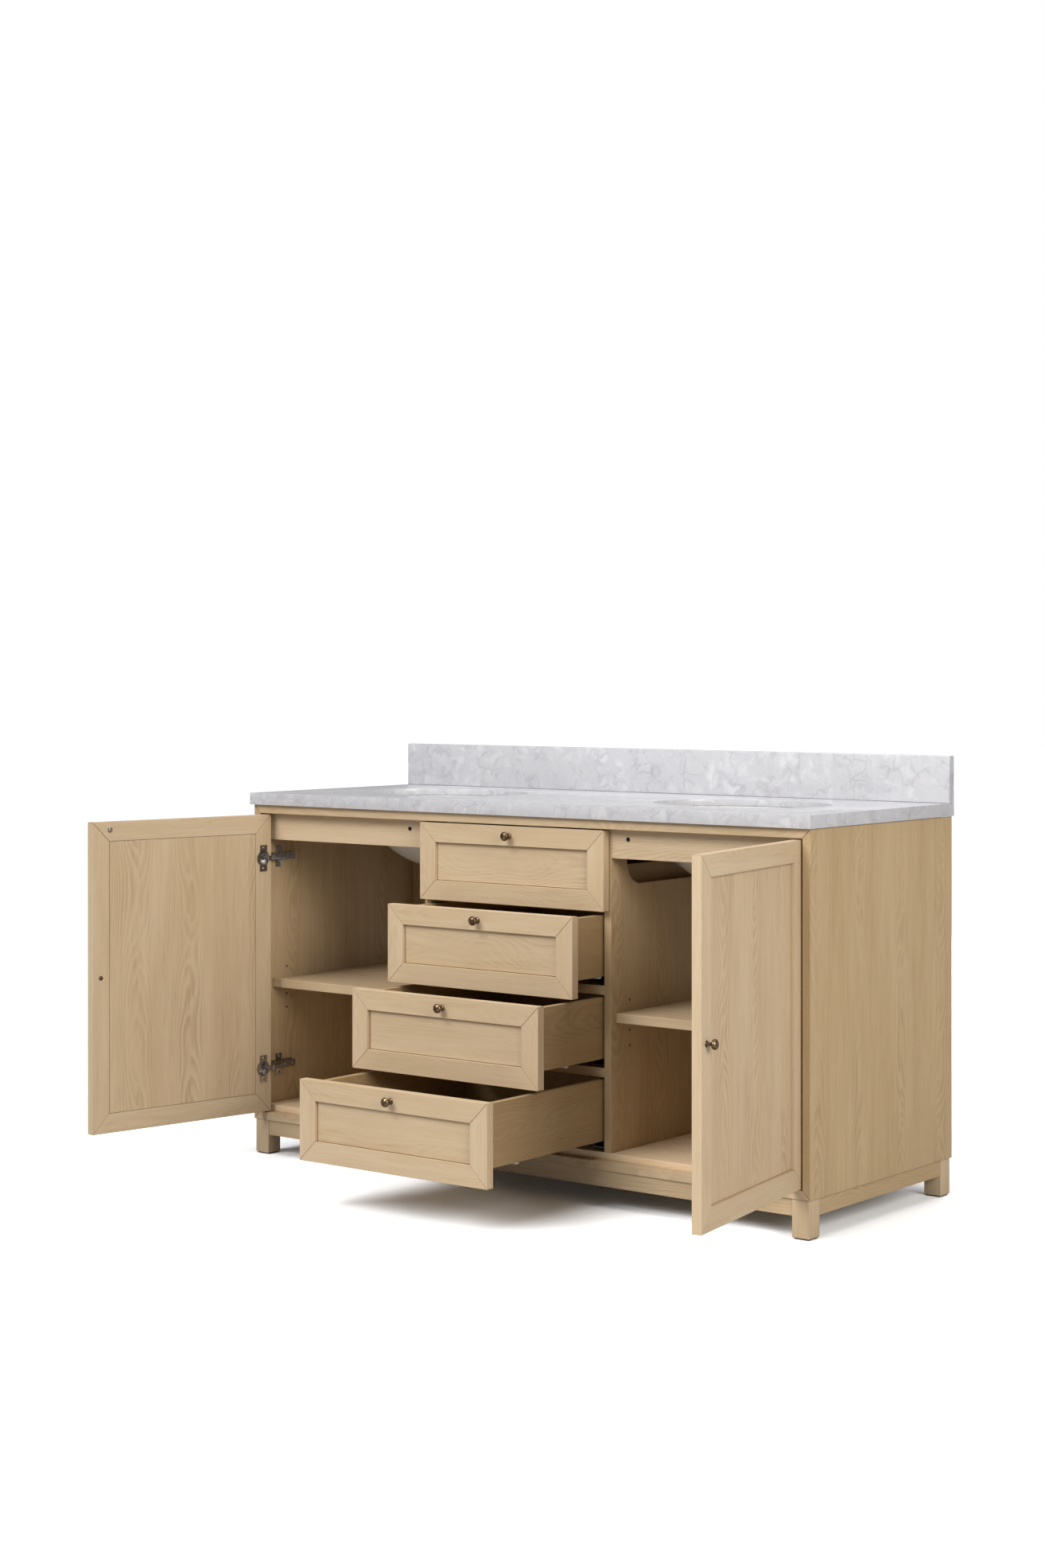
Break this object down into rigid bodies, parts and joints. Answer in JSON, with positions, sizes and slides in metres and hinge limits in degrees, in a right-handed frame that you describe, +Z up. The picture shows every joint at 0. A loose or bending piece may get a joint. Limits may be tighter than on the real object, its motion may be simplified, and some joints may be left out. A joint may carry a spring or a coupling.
{
  "type": "bathroom vanity cabinet",
  "caption": "Oak bathroom vanity with two hinged doors, sliding drawers, a marble top and backsplash, and under-mount oval basins.",
  "frame": {"origin": "on the floor, under the middle of the box of the cabinet as it stands with its doors and drawers open", "axes": "+X to the right along the front, +Y from the front to the back, +Z up"},
  "size_m": [1.6704, 1.0405, 0.941],
  "materials": {
    "case_oak": "pale limed oak, matt lacquer",
    "shelf_and_back_oak": "oak veneered board, matt lacquer",
    "door_oak": "pale limed oak, matt lacquer",
    "drawer_front_oak": "pale limed oak, matt lacquer",
    "drawer_box_wood": "lacquered drawer sides",
    "marble": "polished white marble with grey veins",
    "basin_ceramic": "white glaze",
    "knob_bronze": "antique bronze",
    "hinge_steel": "nickel plated steel",
    "slide_steel": "zinc plated sheet steel"
  },
  "bodies": {
    "case": {"foot_front_left": "case_oak", "foot_front_right": "case_oak", "foot_back_left": "case_oak", "foot_back_right": "case_oak", "apron_left": "case_oak", "apron_right": "case_oak", "apron_front": "case_oak", "apron_back": "case_oak", "side_left": "case_oak", "side_right": "case_oak", "case_bottom": "case_oak", "top_rail": "case_oak", "divider_left": "case_oak", "divider_right": "case_oak", "sub_rail_left": "case_oak", "sub_rail_right": "case_oak", "drawer_rail_1": "case_oak", "drawer_rail_2": "case_oak", "drawer_rail_3": "case_oak", "back_panel": "shelf_and_back_oak", "shelf_left": "shelf_and_back_oak", "shelf_right": "shelf_and_back_oak", "marble_top": "marble", "backsplash": "marble", "basin_left": "basin_ceramic", "basin_right": "basin_ceramic", "hinge_arm_left_lower": "hinge_steel", "hinge_arm_left_upper": "hinge_steel", "hinge_arm_right_lower": "hinge_steel", "hinge_arm_right_upper": "hinge_steel", "slide_1_left": "slide_steel", "slide_1_right": "slide_steel", "slide_2_left": "slide_steel", "slide_2_right": "slide_steel", "slide_3_left": "slide_steel", "slide_3_right": "slide_steel", "slide_4_left": "slide_steel", "slide_4_right": "slide_steel"},
    "door_left": {"door_frame_left": "door_oak", "door_panel_left": "door_oak", "door_knob_left": "knob_bronze", "hinge_cup_left_lower": "hinge_steel", "hinge_cup_left_upper": "hinge_steel"},
    "door_right": {"door_frame_right": "door_oak", "door_panel_right": "door_oak", "door_knob_right": "knob_bronze", "hinge_cup_right_lower": "hinge_steel", "hinge_cup_right_upper": "hinge_steel"},
    "drawer_1": {"drawer_front_1": "drawer_front_oak", "drawer_box_1": "drawer_box_wood", "drawer_knob_1": "knob_bronze"},
    "drawer_2": {"drawer_front_2": "drawer_front_oak", "drawer_box_2": "drawer_box_wood", "drawer_knob_2": "knob_bronze"},
    "drawer_3": {"drawer_front_3": "drawer_front_oak", "drawer_box_3": "drawer_box_wood", "drawer_knob_3": "knob_bronze"},
    "drawer_4": {"drawer_front_4": "drawer_front_oak", "drawer_box_4": "drawer_box_wood", "drawer_knob_4": "knob_bronze"}
  },
  "joints": [
    {"name": "door_left_hinge", "type": "hinge", "parent": "case", "child": "door_left", "pos_m": [-0.729, -0.0498, 0.4447], "axis": [0, 0, 1], "range_deg": [-9.4, 100.6]},
    {"name": "door_right_hinge", "type": "hinge", "parent": "case", "child": "door_right", "pos_m": [0.729, -0.0498, 0.4447], "axis": [0, 0, 1], "range_deg": [-99.5, 10.5]},
    {"name": "drawer_1_slide", "type": "slide", "parent": "case", "child": "drawer_1", "axis": [0, -1, 0], "range_m": [0, 0.4]},
    {"name": "drawer_2_slide", "type": "slide", "parent": "case", "child": "drawer_2", "axis": [0, -1, 0], "range_m": [-0.1082, 0.2918]},
    {"name": "drawer_3_slide", "type": "slide", "parent": "case", "child": "drawer_3", "axis": [0, -1, 0], "range_m": [-0.2234, 0.1766]},
    {"name": "drawer_4_slide", "type": "slide", "parent": "case", "child": "drawer_4", "axis": [0, -1, 0], "range_m": [-0.3877, 0.0123]}
  ]
}
